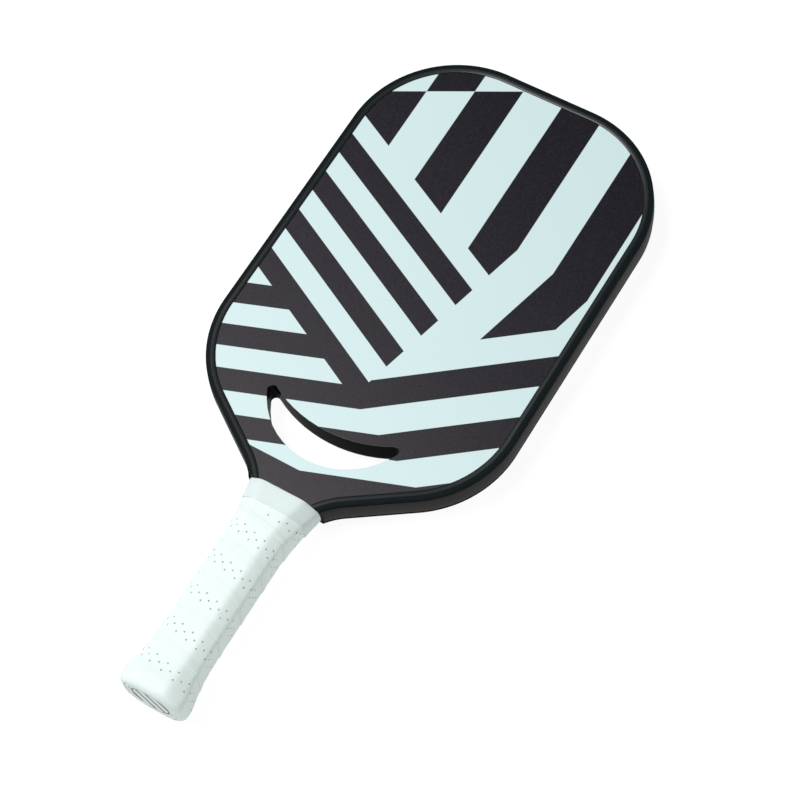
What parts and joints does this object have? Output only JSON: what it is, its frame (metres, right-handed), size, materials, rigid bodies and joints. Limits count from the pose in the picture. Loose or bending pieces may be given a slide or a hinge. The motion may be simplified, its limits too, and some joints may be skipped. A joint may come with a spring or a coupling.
{
  "type": "pickleball paddle",
  "caption": "Solid-faced bat with a rounded rectangular head, a crescent slot above the throat and a short octagonal handle with a wrapped grip.",
  "frame": {"origin": "under the middle of the paddle lying flat, on the plane its lowest point touches", "axes": "+Z is the front face's normal, +Y runs from the butt end to the head, +X is across the head to the right seen from the front"},
  "size_m": [0.188, 0.421, 0.034],
  "materials": {
    "honeycomb": "translucent white polypropylene honeycomb",
    "foam": "rigid expanded foam",
    "printed_face": "matte printed carbon sheet with a fine gritty texture, near black and pale mint bands",
    "edge_guard": "satin black moulded plastic",
    "slot_liner": "dull black",
    "handle_shell": "dense moulded foam",
    "butt_cap": "satin white",
    "butt_badge": "satin white with grey sunk bands",
    "grip_tape": "white perforated synthetic leather, cushioned and slightly tacky",
    "finishing_tape": "thin black vinyl",
    "grip_collar": "matte white silicone rubber"
  },
  "bodies": {
    "root": {"honeycomb_core": "honeycomb", "edge_foam": "foam", "slot_foam": "foam", "front_face": "printed_face", "back_face": "printed_face", "edge_guard": "edge_guard", "slot_liner": "slot_liner", "handle_shell_front": "handle_shell", "handle_shell_back": "handle_shell", "butt_cap": "butt_cap", "butt_badge": "butt_badge", "grip_wrap": "grip_tape", "finishing_tape": "finishing_tape", "grip_collar": "grip_collar"}
  },
  "joints": []
}
